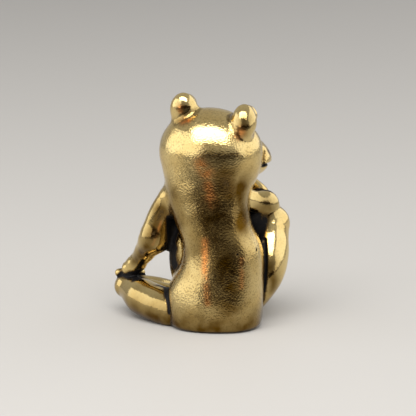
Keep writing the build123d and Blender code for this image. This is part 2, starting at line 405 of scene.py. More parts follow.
# Piece, radii, and 1 for above the mouth or -1 for below it
JAWS = (("upper_jaw", (9.1, 6.6, 5.2), 1), ("lower_jaw", (8.6, 6.0, 3.8), -1))

egg("head", SKULL, HEAD_AXES, SKULL_RADII, SKULL_FILLET)
for jaw, radii, side in JAWS:
    lip = head_point(0, MOUTH_FORWARD, MOUTH_UP + side * MOUTH_GAP / 2)
    egg(
        jaw,
        head_point(0, MOUTH_FORWARD, MOUTH_UP),
        HEAD_AXES,
        radii,
        JAW_FILLET,
        keep=lambda points, lip=lip, side=side: -side * ((points - lip) @ HEAD_AXES[2]),
        edge=LIP_ROUND,
        origin=head_point(0, MOUTH_FORWARD, MOUTH_UP + side * JAW_ORIGIN_RISE),
    )
print("head forms:", [form.piece for form in forms[-3:]])

# %% Cheek grooves and nostrils
FACE_GROOVE = 0.42
# Two ends in the head's axes, for the left side; the right side mirrors them
FACE_LINES = (
    ((1.3, 9.6, 7.5), (1.4, 9.4, 7.6)),
    ((8.1, 1.9, 1.6), (8.45, 2.1, 4.6)),
    ((8.45, 2.1, 4.6), (8.0, 3.6, 7.0)),
)
for side in (1, -1):
    for start, end in FACE_LINES:
        mirrored = [head_point(side * across, forward, up) for across, forward, up in (start, end)]
        groove(*mirrored, FACE_GROOVE)
print("face grooves:", len(grooves))

# %% [markdown]
# ## Eyes
#
# A frog's eyes stand on top of its head like two knobs. Each is an egg on a short stalk that melts into the
# skull, with a flatter disc on its front and a pupil on the disc. A plain ball would look stuck on.

# %% Eyes
# Root and ball in the head's axes, across, forward and up; then the egg's radii and its fillet
EYES = (
    ("left_eye", (4.9, 0.9, 10.1), (5.1, 0.4, 12.0), (2.2, 2.1, 2.9), 1.1),
    ("right_eye", (-5.2, -0.9, 9.9), (-4.9, -0.1, 11.7), (2.0, 2.05, 2.85), 0.9),
)
EYE_STEP = 0.11
# How far in front of the ball, the radii, the fillet and the grid step of the disc and of the pupil
EYE_FRONTS = ((1.35, (1.78, 1.05, 1.78), 0.35, EYE_STEP), (2.15, (1.15, 0.5, 0.85), 0.1, 0.09))

for eye, root, ball, radii, fillet in EYES:
    ball = head_point(*ball)
    stalk = unit(ball - head_point(*root))
    across = unit(HEAD_AXES[0] - (HEAD_AXES[0] @ stalk) * stalk)
    middle = ball - (radii[2] - radii[1]) * stalk
    egg(eye, middle, (across, np.cross(stalk, across), stalk), radii, fillet, step=EYE_STEP)
    for forward, front_radii, front_fillet, step in EYE_FRONTS:
        egg(eye, ball - forward * HEAD_AXES[1], HEAD_AXES, front_radii, front_fillet, step=step)
    print(eye, "stands", np.linalg.norm(ball - SKULL).round(1), "mm from the middle of the skull")

# %% [markdown]
# ## Legs and arms
#
# Every limb swells between its two joints and ends in a ball, and the next limb starts from the same ball,
# so elbows and knees close without a seam. A skin modifier over a stick figure could do this too, but it
# gives no control over the fillet. The joints are the places where the solids have theirs.

# %% Joints
LEFT_HIP = np.array([7.2, 0.6, 2.3])
LEFT_KNEE = np.array([15.4, -6.2, 4.2])
LEFT_ANKLE = np.array([6.0, -11.6, 1.9])
RIGHT_HIP = np.array([-4.4, -2.2, 3.2])
RIGHT_KNEE = np.array([-7.9, -7.6, 14.8])
RIGHT_ANKLE = np.array([-4.4, -11.0, 2.2])
LEFT_SHOULDER = np.array([7.9, -0.9, 20.0])
LEFT_ELBOW = np.array([10.35, -1.8, 13.2])
LEFT_WRIST = np.array([13.5, -5.4, 8.4])
RIGHT_SHOULDER = np.array([-2.6, -3.4, 20.0])
RIGHT_ELBOW = np.array([-7.3, -6.8, 18.0])
RIGHT_WRIST = head_point(-4.5, 9.5, -0.2)
WRIST_RADIUS, ANKLE_RADIUS = 1.25, 1.5
print("the right hand reaches", RIGHT_WRIST.round(2))

# %% Legs
LEFT_CALF = ((14.6, -5.6, 4.4), (8.0, -5.2, 3.4))
KNEE_FILL, KNEE_FILL_RADII = (-5.6, -5.4, 14.8), (2.2, 1.4, 2.6)

# Radii at the first joint, at the swell and at the last joint
limb("left_thigh", LEFT_HIP, LEFT_KNEE, (3.1, 2.9, 2.0), fillet=0.25, swell=0.6, bow=(0.3, 0.5, -0.2))
limb("left_shin", LEFT_KNEE, LEFT_ANKLE, (2.0, 2.1, ANKLE_RADIUS), fillet=0.25)
limb("left_shin", *LEFT_CALF, (1.2, 1.6, 1.5), fillet=0.2)
limb("right_thigh", RIGHT_HIP, RIGHT_KNEE, (3.0, 3.2, 2.9), fillet=0.15, bow=(-1.6, 0.3, 0))
egg("right_thigh", KNEE_FILL, UPRIGHT, KNEE_FILL_RADII, fillet=0.2)
limb("right_shin", RIGHT_KNEE, RIGHT_ANKLE, (2.85, 2.3, ANKLE_RADIUS), fillet=1.2)
print("forms with the legs:", len(forms))

# %% Arms
ELBOW_TIP, ELBOW_RADII = np.array([-7.2, -6.4, 18.0]), (2.15, 2.9, 2.5)
# The elbow is blunt: past this far along this direction it is cut off, with a wide round edge
ELBOW_BACK, ELBOW_DEPTH, ELBOW_EDGE = unit((-0.25, 0.96, -0.1)), 1.9, 1.8
RIGHT_FOREARM_ROOT = RIGHT_ELBOW + (0.2, -0.8, 0)


def past_elbow(points):
    """How far a point is past the blunt end of the elbow."""
    return (points - ELBOW_TIP) @ ELBOW_BACK - ELBOW_DEPTH


limb("left_upper_arm", LEFT_SHOULDER, LEFT_ELBOW, (1.75, 1.85, 2.05), fillet=1.6, bow=(0.45, 0, 0))
limb("left_forearm", LEFT_ELBOW, LEFT_WRIST, (2.05, 1.85, 1.4), fillet=1.5, swell=0.45)
limb("right_upper_arm", RIGHT_SHOULDER, RIGHT_ELBOW, (1.9, 1.85, 1.7), fillet=0.15)
egg("right_upper_arm", ELBOW_TIP, UPRIGHT, ELBOW_RADII, fillet=0.9, keep=past_elbow, edge=ELBOW_EDGE)
limb("right_forearm", RIGHT_FOREARM_ROOT, RIGHT_WRIST, (1.6, 1.8, WRIST_RADIUS), fillet=0.15)
print("forms with the arms:", len(forms))

# %% Deep joins and casting pits
# Two ends and a radius: where the chaser cut between the forms, and a few pits from the mould
CUTS = (
    ((-7.2, -3.2, 13.1), (-7.55, -1.4, 10.0), 0.42),
    ((-7.55, -1.4, 10.0), (-7.6, -0.6, 6.8), 0.40),
    ((-7.6, -0.6, 6.8), (-7.45, -0.8, 3.0), 0.32),
    ((-5.6, -6.9, 21.3), (-7.6, -6.7, 20.2), 0.25),
    ((-6.45, 2.75, 12.8), (-6.4, 2.75, 12.6), 0.22),
    ((-3.7, 5.3, 12.6), (-3.7, 5.3, 12.5), 0.16),
)
for start, end, radius in CUTS:
    groove(start, end, radius)
print("grooves with the cuts:", len(grooves))

# %% [markdown]
# ## Hands and feet
#
# A frog's fingers and toes end in round pads. Each hand is a palm past the wrist and a fan of fingers, each
# foot a fan of toes with a thin ribbed web between them. They could be extruded from a flat outline, but the
# pads and ribs are round on the casting too. Small forms get a finer grid.

# %% Right hand
PALM_LENGTH, PALM_RADIUS, PALM_FLAT, PALM_STEP = 1.5, 1.6, 0.8, 0.11
FINGER_LENGTH, FINGER_RADII, FINGER_SWELL, FINGER_STEP = 2.6, (0.6, 0.58, 0.7), 0.55, 0.09
HAND_FILLET = 0.3


def fan(count, spread):
    """Angles that fan out evenly to both sides of straight ahead."""
    return radians(spread) * (np.arange(count) - (count - 1) / 2)


def hand(piece, wrist, spread, heading, dip):
    """A palm and four fingers in a plane that is turned by heading, then tipped by dip."""
    axes = np.array(Matrix.Rotation(radians(heading), 3, "Z") @ Matrix.Rotation(radians(dip), 3, "X"))
    palm = wrist - PALM_LENGTH * axes[:, 1]
    radii = (WRIST_RADIUS, PALM_RADIUS, PALM_RADIUS)
    limb(piece, wrist, palm, radii, HAND_FILLET, flat=axes[:, 2], flat_share=PALM_FLAT, step=PALM_STEP)
    for angle in fan(4, spread):
        reach = np.array([sin(angle), -cos(angle), 0.0]) * (PALM_LENGTH + FINGER_LENGTH)
        tip = wrist + axes @ reach
        limb(piece, palm, tip, FINGER_RADII, HAND_FILLET, swell=FINGER_SWELL, step=FINGER_STEP)


hand("right_hand", RIGHT_WRIST, spread=22, heading=14, dip=-78)
print("right hand forms:", sum(form.piece == "right_hand" for form in forms))

# %% Left hand
# It lies over the knee, so each finger has its own knuckle and tip
LEFT_PALM = np.array([14.9, -6.0, 7.2])
LEFT_FINGERS = (
    ((14.9, -5.8, 7.1), (16.7, -6.5, 6.3)),
    ((14.9, -6.4, 7.0), (16.4, -8.4, 5.6)),
    ((14.6, -6.6, 7.0), (14.9, -9.2, 5.6)),
    ((14.4, -6.5, 7.0), (13.4, -8.6, 5.9)),
)
limb("left_hand", LEFT_WRIST, LEFT_PALM, (WRIST_RADIUS, 1.35, 1.3), fillet=1.0, step=PALM_STEP)
for knuckle, tip in LEFT_FINGERS:
    limb("left_hand", knuckle, tip, FINGER_RADII, fillet=0.2, swell=FINGER_SWELL, step=FINGER_STEP)
print("left hand forms:", sum(form.piece == "left_hand" for form in forms))

# %% Feet
# How many, how long and how thick: the toes, then the ribs of the web
TOES = (4, 4.6, (0.9, 0.85, 0.95))
WEB_RIBS = (3, 3.3, (0.6, 0.45, 0.4))
TOE_SPREAD, FOOT_FILLET, TOE_STEP = 17, 0.45, 0.1
RIGHT_FOOT_HEADING = radians(-82)


def foot(piece, ankle, heading):
    """Four toes along the ground from under the ankle, and three thinner web ribs between them."""
    heel = np.array([ankle[0], ankle[1], TOES[2][0]])
    for count, length, radii in (TOES, WEB_RIBS):
        for angle in heading + fan(count, TOE_SPREAD):
            tip = heel + length * np.array([cos(angle), sin(angle), 0.0])
            limb(piece, heel, tip, radii, FOOT_FILLET, step=TOE_STEP)


left_shin_run = LEFT_ANKLE - LEFT_KNEE
foot("left_foot", LEFT_ANKLE, np.arctan2(left_shin_run[1], left_shin_run[0]))
foot("right_foot", RIGHT_ANKLE, RIGHT_FOOT_HEADING)
print("forms:", len(forms), "pieces:", len({form.piece for form in forms}))

# %% [markdown]
# ## The merged skin
#
# The merged distance is the rounded lowest of all forms, plus a slow unevenness of a few hundredths of a
# millimetre, because a hand-finished casting is never a perfect egg. A piece keeps the part of the skin that
# is nearest to its own forms. Past that it dives under its neighbour, after a short overlap, so that the
# seam never shows. Everything is cut level with the ground. A Remesh modifier could fuse the forms as well,
# but it would lose which piece each bit of skin belongs to.

# %% Unevenness
WAVES, WAVE_HEIGHT = 7, 0.008
SHORTEST_WAVE, LONGEST_WAVE = 2.6, 7.0
rng = np.random.default_rng(7)
wave_runs = rng.normal(size=(WAVES, 3))
wave_lengths = np.linspace(SHORTEST_WAVE, LONGEST_WAVE, WAVES)
wave_runs *= (tau / wave_lengths / np.linalg.norm(wave_runs, axis=1))[:, None]
wave_starts = rng.uniform(0, tau, WAVES)


def unevenness(points):
    """A sum of seven slanted sine waves, each a few millimetres long and about a hundredth high."""
    return WAVE_HEIGHT * np.sin(points @ wave_runs.T + wave_starts).sum(-1)


print("unevenness at the seat:", unevenness(np.zeros(3)).round(4), "mm")

# %% Merged distance
OVERLAP, GROUND_EDGE = 0.3, 0.25


def near(form, room):
    """The forms and the grooves, in order, whose boxes come within some room of this form's box."""
    low, high = form.corners[0] - room, form.corners[1] + room
    return [
        [f for f in group if np.all(f.corners[0] < high) and np.all(f.corners[1] > low)]
        for group in (forms, grooves)
    ]


def merged(points, neighbours, own=None):
    """The rounded lowest of the forms' distances, less the grooves, cut at the ground.

    With own, a point that is nearer to another form than to own, by more than the overlap, counts as that
    much further out.
    """
    skin, mine, other = None, None, np.inf
    for form in neighbours[0]:
        d = form.distance(points)
        skin = d if skin is None else rounded_lowest(skin, d, form.fillet)
        if form is own:
            mine = d
        else:
            other = np.minimum(other, d)
    skin = skin + unevenness(points)
    for cut in neighbours[1]:
        skin = rounded_highest(skin, -cut.distance(points), cut.fillet)
    past = 0.0 if own is None else np.maximum(mine - other - OVERLAP, 0.0)
    return rounded_highest(skin + past, -points[..., 2], GROUND_EDGE)


print("forms near the torso:", len(near(forms[0], 1.0)[0]))

# %% Skin points
SKIN_ROOM, RAY_MARGIN, HALVINGS = 1.0, 1.2, 15


def skin_points(form):
    """Where each ray of a form meets the skin, by halving the stretch that holds the crossing."""
    neighbours = near(form, SKIN_ROOM)
    low, high = np.zeros(form.reach.shape), form.reach + RAY_MARGIN
    for _ in range(HALVINGS):
        middle = (low + high) / 2
        points = form.starts + middle[..., None] * form.directions
        outside = merged(points, neighbours, form) > 0
        high = np.where(outside, middle, high)
        low = np.where(outside, low, middle)
    return form.starts + ((low + high) / 2)[..., None] * form.directions


print("a 10 mm ray is found to", 10 / 2**HALVINGS, "mm")

# %% [markdown]
# ## Where the patina stays
#
# Black patina stays where a polishing wheel can't reach. It could be painted on by hand or baked from
# ambient occlusion, but the distance formula already knows: from each point of the skin, a few steps are
# taken straight out. On an open surface, the skin is then as far away as the step is long. In a crease it is
# nearer, and the shortfall is stored on the mesh for the material to read. The direction straight out, which
# is the slope of the merged distance, also serves as the mesh's normal, so seams between pieces stay smooth.

# %% Crease depth
# How long each step outwards is, and how much it counts
CREASE_STEPS = ((0.25, 0.28), (0.6, 0.34), (1.3, 0.26), (2.6, 0.08))
PROBE = 0.03
PROBE_CORNERS = np.array([(1, -1, -1), (-1, -1, 1), (-1, 1, -1), (1, 1, 1)], float)


def outward_from(points, neighbours):
    """The slope of the merged distance, as a sum over four corners of a small tetrahedron, at length one."""
    slope = sum(c * merged(points + PROBE * c, neighbours)[..., None] for c in PROBE_CORNERS)
    return slope / (np.linalg.norm(slope, axis=-1, keepdims=True) + 1e-12)


def crease_depth(points, outward, neighbours):
    """The weighted shortfall of the distance after each step outwards, from 0 in the open to about 1."""
    depth = 0.0
    for step, weight in CREASE_STEPS:
        away = merged(points + step * outward, neighbours)
        depth = depth + weight * np.clip(1.0 - away / step, 0.0, 1.0)
    return depth


print("a closed crease has depth", round(sum(weight for _, weight in CREASE_STEPS), 2))

# %% Patina lines
# Lines where the patina was left thick, and at the end four weaker lines of painted shade on the back of the
# neck and the left arm: two ends, how far it spreads and how strong it is
PATINA_AND_SHADE_LINES = (
    ((7.94, -2.2, 16.8), (7.5, -2.4, 14.1), 1.6, 0.8),
    ((7.2, -3.0, 11.4), (7.3, -3.0, 8.9), 1.7, 0.7),
    ((6.7, -1.4, 11.6), (6.6, -1.2, 9.2), 1.3, 0.7),
    ((13.3, -5.0, 6.1), (15.9, -6.3, 5.9), 1.0, 0.8),
    ((13.3, -3.2, 6.4), (13.8, -3.0, 6.2), 0.7, 0.8),
    ((9.6, -1.0, 5.9), (8.0, 0.2, 5.7), 0.55, 0.5),
    ((8.0, 0.2, 5.7), (7.65, 2.4, 4.85), 0.75, 0.62),
    ((7.65, 2.4, 4.85), (7.35, 3.3, 4.1), 0.60, 0.6),
    ((7.35, 3.3, 4.1), (7.2, 3.75, 2.4), 0.42, 0.5),
    ((-6.6, -5.6, 15.2), (-5.6, -4.4, 14.6), 1.9, 0.8),
    ((-7.3, -3.5, 11.4), (-7.3, -3.5, 8.4), 0.9, 0.8),
    ((-7.3, -4.0, 27.1), (-7.3, -4.0, 27.0), 0.7, 0.8),
    ((-5.4, -6.6, 21.4), (-7.8, -6.6, 20.2), 0.55, 0.8),
    ((-1.4, 5.0, 25.0), (-2.2, 4.4, 22.6), 2.0, 0.36),
    ((9.0, 0.6, 18.2), (10.0, 0.6, 14.8), 0.8, 0.38),
    ((10.0, 0.6, 14.8), (12.4, -1.6, 10.6), 0.8, 0.38),
    ((13.0, -2.6, 6.8), (9.6, -0.6, 6.0), 0.6, 0.36),
)


def along_lines(points, lines):
    """The highest, over the lines, of strength times a bell curve of distance to the line over spread."""
    highest = np.zeros(points.shape[:-1])
    for start, end, spread, strength in lines:
        start, run = np.array(start), np.subtract(end, start)
        share = np.clip((points - start) @ run / (run @ run), 0.0, 1.0)
        apart = ((points - start - share[..., None] * run) ** 2).sum(-1) / spread**2
        highest = np.maximum(highest, strength * np.exp(-apart))
    return highest


print("soot in the left armpit:", along_lines(np.array(ARMPIT), PATINA_AND_SHADE_LINES).round(2))

# %% [markdown]
# ## Painted shade, painted warm reflections and grain
#
# Brown is painted where the polished metal should mirror dark surroundings: down the back, on the inside of
# the arm and near the ground. A few reddish streaks are painted warm reflections. A noise texture alone would
# put them anywhere, so they follow lines, in the same way as the thick patina. The cast grain is strong on
# the torso and head, and mostly polished off the limbs.

# %% Painted shade in brown
# Two ends, how far the painted brown shade spreads and how strong it is
PAINTED_SHADE_LINES = (
    ((-1.8, 4.4, 24.4), (-2.4, 4.2, 21.5), 3.5, 1.0),
    ((0.0, 4.8, 21.0), (-0.2, 5.2, 15.0), 6.4, 0.90),
    ((-4.0, 3.2, 22.8), (-4.4, 3.2, 17.0), 3.2, 0.97),
    ((-2.2, 5.9, 12.5), (-2.6, 6.6, 5.0), 4.4, 0.92),
    ((0.0, 5.5, 16.0), (0.0, 6.5, 8.0), 9.0, 0.45),
    ((5.8, 2.4, 21.5), (5.2, 2.8, 17.0), 2.8, 0.88),
    ((5.0, 3.4, 16.0), (4.6, 4.2, 9.0), 2.3, 0.6),
    ((9.0, 0.5, 18.4), (9.6, 0.5, 15.0), 1.8, 1.0),
    ((9.6, 0.5, 15.0), (11.0, 0.3, 12.2), 1.9, 1.0),
    ((11.0, 0.3, 12.2), (13.6, -3.2, 9.0), 1.6, 0.97),
    ((-8.3, -1.2, 9.4), (-8.8, -1.3, 5.6), 1.8, 0.9),
    ((-7.6, -4.4, 18.0), (-6.2, -4.4, 17.4), 1.9, 0.97),
    ((5.4, 0.1, 34.8), (5.1, 0.6, 33.0), 1.1, 0.85),
    ((6.6, 0.2, 32.6), (4.0, 1.0, 33.4), 0.7, 0.85),
    ((-4.5, 2.2, 33.4), (-4.1, 2.6, 31.4), 1.3, 0.9),
)
# How high above the ground the painted shade reaches
PAINTED_SHADE_TOP = 7.8


def toning(points):
    """The higher of the painted brown shade along the lines and of painted shade that eases out upwards from
    the ground.
    """
    ground_shade = ease((PAINTED_SHADE_TOP - points[..., 2]) / PAINTED_SHADE_TOP)
    return np.maximum(ground_shade, along_lines(points, PAINTED_SHADE_LINES))


print("toning at the neck's middle:", toning(NECK).round(2))

# %% Painted warm reflections and grain
# Two ends, how far the painted red reflection spreads and how strong it is
WARM_REFLECTION_LINES = (
    ((1.36, 5.34, 14.6), (1.31, 5.82, 10.1), 0.55, 1.0),
    ((1.31, 5.82, 10.1), (0.8, 6.7, 5.0), 0.5, 1.0),
    ((-4.28, 5.09, 11.8), (-4.33, 5.49, 7.4), 0.38, 0.9),
    ((2.2, 4.9, 26.8), (1.2, 4.7, 25.4), 1.0, 1.0),
    ((0.9, 4.7, 23.4), (0.5, 4.7, 20.6), 0.8, 1.0),
    ((5.8, 0.1, 34.7), (5.7, 0.1, 34.4), 0.5, 0.9),
    ((5.3, 0.8, 32.6), (4.5, 1.1, 32.7), 0.6, 0.9),
    ((-3.9, 2.6, 31.6), (-3.6, 2.7, 31.0), 0.7, 0.9),
    ((8.9, 0.4, 16.6), (10.2, 0.4, 12.8), 0.22, 0.6),
)
# How much of the mould's grain the polishing left on each piece
GRAIN = {"torso": 1.0, "head": 0.75, "left_eye": 0.4, "right_eye": 0.4}
LIMB_GRAIN = 0.3
print("copper streaks:", len(WARM_REFLECTION_LINES))

# %% [markdown]
# ## From rays to meshes
#
# Each form's grid becomes quads with a fan of triangles at either pole. A piece with several forms, such as
# a hand, is one mesh of several closed skins that overlap inside. Blender can take faces one by one from
# Python, but whole arrays are hundreds of times faster.


# %% Faces of a closed grid
def grid_faces(rows, columns, offset):
    """Corner numbers of a closed grid: pole, rings, pole. Returns the triangles and the quads."""
    column = np.arange(columns)
    after = (column + 1) % columns
    first, last = offset, offset + 1 + (rows - 2) * columns
    ring = offset + 1 + np.arange(rows - 2)[:, None] * columns
    bottom = np.stack([np.full(columns, first), ring[0] + after, ring[0] + column], -1)
    top = np.stack([np.full(columns, last), ring[-1] + column, ring[-1] + after], -1)
    low, high = ring[:-1], ring[1:]
    quads = np.stack([low + column, low + after, high + after, high + column], -1)
    return np.concatenate([bottom, top]), quads.reshape(-1, 4)


print("a grid of 4 rows and 6 columns:", [len(part) for part in grid_faces(4, 6, 0)], "triangles and quads")


# %% Filling a mesh
def fill_mesh(mesh, points, triangles, quads):
    """Writes whole arrays of corners and faces into a mesh, smooth shaded."""
    corners = np.concatenate([triangles.ravel(), quads.ravel()])
    sizes = np.concatenate([np.full(len(triangles), 3), np.full(len(quads), 4)])
    mesh.vertices.add(len(points))
    mesh.vertices.foreach_set("co", (points * MM).astype(np.float32).ravel())
    mesh.loops.add(len(corners))
    mesh.loops.foreach_set("vertex_index", corners.astype(np.int32))
    mesh.polygons.add(len(sizes))
    mesh.polygons.foreach_set("loop_start", (np.cumsum(sizes) - sizes).astype(np.int32))
    mesh.polygons.foreach_set("use_smooth", np.ones(len(sizes), bool))
    mesh.update(calc_edges=True)
    mesh.validate()


print("meshes in the file before casting:", len(bpy.data.meshes))

# %% One cast piece
CREASE_ROOM = 4.0


def cast_piece(piece):
    """One finished piece: all its forms' skins in one mesh, with the material's measures, painted shade and
    reflection among them, on its points.
    """
    points, triangles, quads, patina_and_shade_depths, normals, offset = [], [], [], [], [], 0
    for form in [f for f in forms if f.piece == piece]:
        skin = skin_points(form)
        rows, columns = skin.shape[:2]
        flat = np.concatenate([skin[:1, 0], skin[1:-1].reshape(-1, 3), skin[-1:, 0]])
        fans, sides = grid_faces(rows, columns, offset)
        points.append(flat)
        triangles.append(fans)
        quads.append(sides)
        neighbours = near(form, CREASE_ROOM)
        normals.append(outward_from(flat, neighbours))
        # Crease depth plus the patina lines; the weaker of these lines are painted shade
        patina_and_shade_depths.append(crease_depth(flat, normals[-1], neighbours) + along_lines(flat, PATINA_AND_SHADE_LINES))
        offset += len(flat)
    mesh = bpy.data.meshes.new(piece)
    points = np.concatenate(points)
    fill_mesh(mesh, points, np.concatenate(triangles), np.concatenate(quads))
    mesh.normals_split_custom_set_from_vertices(np.concatenate(normals))
    # Besides crease and grain, the measures hold painted shade and a painted warm reflection for the material
    measures = {
        "crease": np.concatenate(patina_and_shade_depths),
        "toning": toning(points),
        "copper": along_lines(points, WARM_REFLECTION_LINES),
        "grain": np.full(len(points), GRAIN.get(piece, LIMB_GRAIN)),
    }
    for name, values in measures.items():
        attribute = mesh.attributes.new(name, "FLOAT", "POINT")
        attribute.data.foreach_set("value", values.astype(np.float32))
    shown = bpy.data.objects.new("cast_" + piece, mesh)
    bpy.context.scene.collection.objects.link(shown)
    return shown


print("pieces to cast:", len({form.piece for form in forms}))

# %% [markdown]
# ## Wiring nodes from a script
#
# A material is a graph of nodes. Made by hand, it is dragged together in the shader editor. From a script, a
# few short helpers that each add one node and return its output keep the graph as readable as a formula.


# %% Node helpers
class Wiring:
    """Adds nodes to the graph of a material or a world, and links them."""

    def __init__(self, owner):
        owner.use_nodes = True
        self.nodes, self.links = owner.node_tree.nodes, owner.node_tree.links

    def plug(self, value, socket):
        """Links an output to a socket, or writes a plain number, place or colour on it."""
        if isinstance(value, bpy.types.NodeSocket):
            self.links.new(value, socket)
        elif socket.type == "RGBA":
            socket.default_value = (*value, 1.0)
        else:
            socket.default_value = value

    def add(self, kind, settings=(), **inputs):
        """A node with its settings and its named inputs."""
        node = self.nodes.new(kind)
        for name, value in dict(settings).items():
            setattr(node, name, value)
        for name, value in inputs.items():
            self.plug(value, node.inputs[name])
        return node

    def noise(self, place, scale, detail=2.0, rough=0.5):
        """Cloudy noise, about 0.5 on average, with so many clouds to the metre."""
        node = self.add("ShaderNodeTexNoise", Vector=place, Scale=scale, Detail=detail, Roughness=rough)
        return node.outputs["Fac"]

    def remap(self, source, low, high, to_low=0.0, to_high=1.0, curve="SMOOTHSTEP"):
        """The stretch from low to high carried over to another stretch, and clipped outside it."""
        node = self.add("ShaderNodeMapRange", {"interpolation_type": curve}, Value=source)
        ends = ("From Min", low), ("From Max", high), ("To Min", to_low), ("To Max", to_high)
        for name, value in ends:
            node.inputs[name].default_value = value
        return node.outputs["Result"]

    def calc(self, operation, a, b):
        """A sum, difference or product."""
        node = self.add("ShaderNodeMath", {"operation": operation})
        self.plug(a, node.inputs[0])
        self.plug(b, node.inputs[1])
        return node.outputs["Value"]

    def mix(self, share, a, b):
        """Colour a, with so great a share of colour b."""
        node = self.add("ShaderNodeMix", {"data_type": "RGBA"}, Factor=share, A=a, B=b)
        return node.outputs["Result"]


print("helpers:", [name for name in vars(Wiring) if not name.startswith("_")])

# %% [markdown]
# ## Antique brass
#
# The metal is bright yellow brass. Its skin is finely pitted from the mould, so highlights break into grain.
# Over that lie painted shade in brown where the metal should mirror dark surroundings, painted warm
# reflections as reddish streaks, a brown stain at the edge of each crease, and in its depth a black, dull
# patina with a ragged edge, because a cloth wiped it off by hand. The stain and the black also carry a few
# lines of painted shade. An image texture could hold all this, but it would need unwrapped pieces, while
# noise in object space runs over the seams.

# %% Brass colours
BRIGHT_BRASS, DEEP_BRASS = (0.77, 0.60, 0.27), (0.70, 0.515, 0.205)
# The first brown is painted shade, and the red is a painted warm reflection
PAINTED_SHADE_BROWN, WARM_REFLECTION_RED = (0.10, 0.050, 0.004), (0.66, 0.27, 0.075)
# The stain and the black are patina, and also colour the lines of painted shade
STAIN_AND_SHADE_BROWN, PIT_BROWN, PATINA_AND_SHADE_BLACK = (0.15, 0.09, 0.026), (0.10, 0.06, 0.018), (0.006, 0.0055, 0.006)
# Crease depths at which the stain and then the black patina begin and are full
STAIN_DEPTHS, BLACK_DEPTHS = (0.16, 0.40), (0.34, 0.50)
# Features to the metre: grain and its cells, pits, painted warm reflections, hand wiped clouds, and drifts of
# colour
GRAIN_SCALE, CELL_SCALE, PIT_SCALE, WARM_REFLECTION_SCALE, CLOUD_SCALE, DRIFT_SCALE = 3900, 3500, 3400, 900, 420, 260
# How far clouds and grain push the patina's edge about, and what cells add to the bumps
CLOUD_SWING, GRAIN_SWING, CELL_SHARE, CELL_SOFTNESS = 0.34, 0.2, 0.7, 0.6
# A stretch of noise and, after it, what its two ends turn into
DRIFT_RANGE, PAINTED_SHADE_RANGE = (0.35, 0.7), (0.2, 0.7, 1.15, 0.85)
WARM_REFLECTION_RANGE, PIT_RANGE = (0.32, 0.5, 0.3, 1.0), (0.50, 0.66, 0.0, 0.42)
ROUGHNESS_RANGE, PATINA_ROUGHER = (0.3, 0.7, 0.07, 0.13), 0.35
GRAIN_HEIGHT, PATINA_GLOSS = 0.000036, 0.1
print("brass reflects red, green and blue:", BRIGHT_BRASS)


# %% Brass layers
def brass_layers(wires, place, grain):
    """The colour and how black it is: each layer is mixed over the last by its own measure and noise."""

    def measure(name):
        return wires.add("ShaderNodeAttribute", {"attribute_name": name}).outputs["Fac"]

    def swing(source, height):
        return wires.calc("MULTIPLY", wires.calc("SUBTRACT", source, 0.5), height)

    cloud = wires.noise(place, CLOUD_SCALE)
    ragged = wires.calc("ADD", measure("crease"), swing(cloud, CLOUD_SWING))
    ragged = wires.calc("ADD", ragged, swing(grain, GRAIN_SWING))
    # Black patina, which also takes the lines of painted shade
    black = wires.remap(ragged, *BLACK_DEPTHS)
    drift = wires.remap(wires.noise(place, DRIFT_SCALE), *DRIFT_RANGE)
    colour = wires.mix(drift, BRIGHT_BRASS, DEEP_BRASS)
    # Painted shade: brown where the metal should mirror dark surroundings, and near the ground
    painted_shade_share = wires.calc("MULTIPLY", measure("toning"), wires.remap(cloud, *PAINTED_SHADE_RANGE))
    colour = wires.mix(painted_shade_share, colour, PAINTED_SHADE_BROWN)
    # Painted warm reflection: red streaks along lines
    warm_reflection_noise = wires.remap(wires.noise(place, WARM_REFLECTION_SCALE, detail=3.0), *WARM_REFLECTION_RANGE)
    colour = wires.mix(wires.calc("MULTIPLY", measure("copper"), warm_reflection_noise), colour, WARM_REFLECTION_RED)
    # Brown stain at crease edges, which also darkens the lines of painted shade
    colour = wires.mix(wires.remap(ragged, *STAIN_DEPTHS), colour, STAIN_AND_SHADE_BROWN)
    pits = wires.remap(wires.noise(place, PIT_SCALE, rough=0.6), *PIT_RANGE)
    colour = wires.mix(wires.calc("MULTIPLY", measure("grain"), pits), colour, PIT_BROWN)
    return wires.mix(black, colour, PATINA_AND_SHADE_BLACK), black, measure("grain")


print("stain and black begin at crease depths of", STAIN_DEPTHS[0], "and", BLACK_DEPTHS[0])


# %% Brass material
def brass():
    """Polished brass: metal except where black, with bumps of noise plus cells where grain is left."""
    material = bpy.data.materials.new("antique_brass")
    wires = Wiring(material)
    shader = wires.nodes["Principled BSDF"]
    place = wires.add("ShaderNodeTexCoord").outputs["Object"]
    grain = wires.noise(place, GRAIN_SCALE, rough=0.55)
    soft = {"feature": "SMOOTH_F1"}
    cells = wires.add("ShaderNodeTexVoronoi", soft, Vector=place, Scale=CELL_SCALE, Smoothness=CELL_SOFTNESS)
    peel = wires.calc("ADD", grain, wires.calc("MULTIPLY", cells.outputs["Distance"], CELL_SHARE))
    colour, black, grain_left = brass_layers(wires, place, grain)
    polish = wires.remap(grain, *ROUGHNESS_RANGE)
    dull = wires.calc("ADD", polish, wires.calc("MULTIPLY", black, PATINA_ROUGHER))
    bump = wires.add("ShaderNodeBump", Distance=GRAIN_HEIGHT, Strength=grain_left, Height=peel)
    wires.plug(colour, shader.inputs["Base Color"])
    wires.plug(wires.remap(black, 0.0, 1.0, 1.0, 0.0), shader.inputs["Metallic"])
    wires.plug(dull, shader.inputs["Roughness"])
    wires.plug(bump.outputs["Normal"], shader.inputs["Normal"])
    shader.inputs["Specular IOR Level"].default_value = PATINA_GLOSS
    return material


antique_brass = brass()
print("brass nodes:", len(antique_brass.node_tree.nodes))

